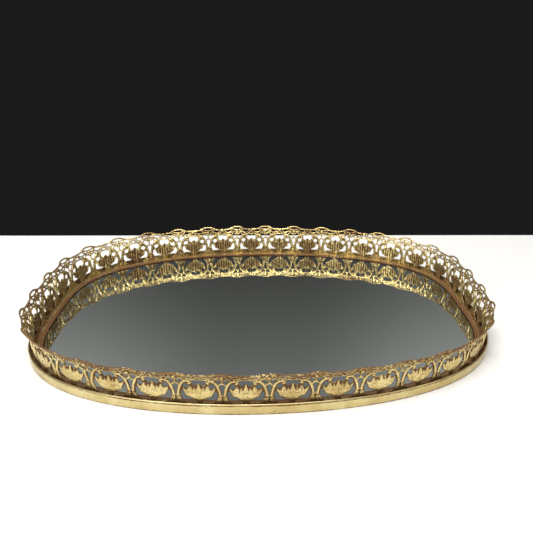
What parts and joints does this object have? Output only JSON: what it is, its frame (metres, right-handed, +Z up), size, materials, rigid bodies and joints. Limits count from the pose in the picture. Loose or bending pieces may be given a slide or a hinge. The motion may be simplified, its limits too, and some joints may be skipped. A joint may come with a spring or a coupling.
{
  "type": "vanity tray",
  "caption": "Oval mirrored vanity tray: a flat mirror in a rolled brass band, with a pierced, scalloped gallery standing round its edge.",
  "frame": {"origin": "middle of the plane that the tray stands on, under the centre of the mirror", "axes": "+X along the tray's length, +Y across it towards the back, +Z up"},
  "size_m": [0.4264, 0.2998, 0.0387],
  "materials": {
    "band_brass": "satin gilt brass, worn, with small dark pits and brown tarnish along the bead",
    "bezel_brass": "gilt brass dulled by brown tarnish",
    "gallery_brass": "stamped gilt brass, bright on the high points and brown in the hollows",
    "mirror_glass": "clear polished glass with light dust and wipe marks",
    "silvering": "silvered, slightly greyed",
    "grey_board": "pressed grey board",
    "felt": "thin dark green felt",
    "tab_brass": "dull brass strip, scuffed"
  },
  "bodies": {
    "root": {"base_band": "band_brass", "mirror_bezel": "bezel_brass", "gallery_back_right": "gallery_brass", "gallery_back_left": "gallery_brass", "gallery_front_left": "gallery_brass", "gallery_front_right": "gallery_brass", "mirror_glass": "mirror_glass", "mirror_silvering": "silvering", "base_board": "grey_board", "felt_cover": "felt", "retaining_tab_01": "tab_brass", "retaining_tab_02": "tab_brass", "retaining_tab_03": "tab_brass", "retaining_tab_04": "tab_brass", "retaining_tab_05": "tab_brass", "retaining_tab_06": "tab_brass", "retaining_tab_07": "tab_brass", "retaining_tab_08": "tab_brass", "retaining_tab_09": "tab_brass", "retaining_tab_10": "tab_brass", "retaining_tab_11": "tab_brass", "retaining_tab_12": "tab_brass"}
  },
  "joints": []
}
